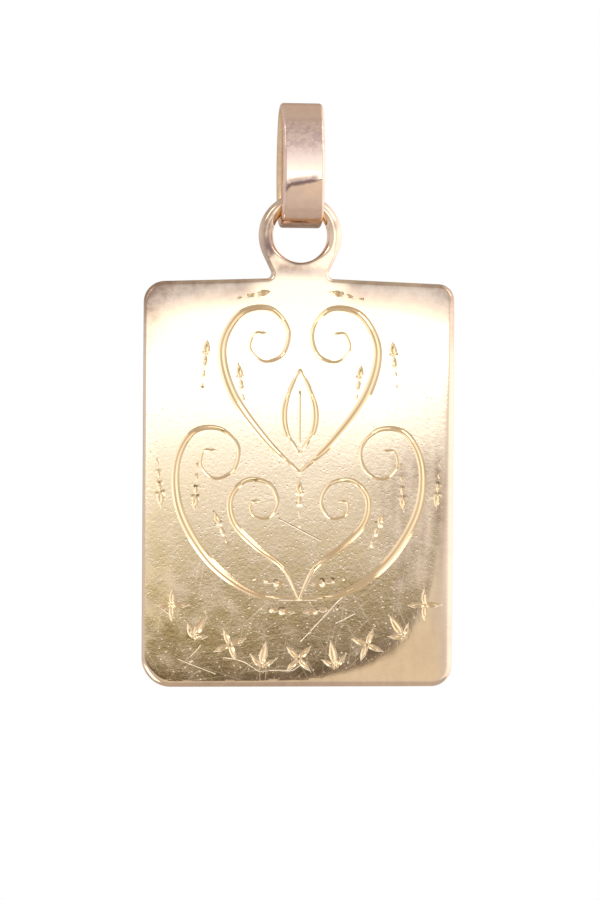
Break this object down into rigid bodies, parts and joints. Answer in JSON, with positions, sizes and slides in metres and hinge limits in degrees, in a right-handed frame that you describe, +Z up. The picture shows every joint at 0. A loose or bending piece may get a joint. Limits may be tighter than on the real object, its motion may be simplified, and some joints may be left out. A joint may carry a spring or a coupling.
{
  "type": "engraved medal pendant",
  "caption": "Rectangular gold medal pendant, engraved on its front, with an eye on its top edge that hangs from a flat oval bail for a neck chain.",
  "frame": {"origin": "inside top of the bail, midway across its band, where a chain runs", "axes": "+Z up as it hangs, the engraved face looks along -Y, +X to the right of someone who looks at that face"},
  "size_m": [0.02, 0.0046, 0.0374],
  "materials": {
    "bail_gold": "polished rose gold with fine wear scratches and a solder seam across its front",
    "medal_gold": "worn polished rose gold, finely scratched and pitted, with bright-cut engraved lines"
  },
  "bodies": {
    "bail": {"bail": "bail_gold"},
    "medal": {"medal": "medal_gold"}
  },
  "joints": [
    {"name": "medal_swing", "type": "hinge", "parent": "bail", "child": "medal", "pos_m": [0, 0, -0.00552], "axis": [1, 0, 0], "range_deg": [-130, 130]}
  ]
}
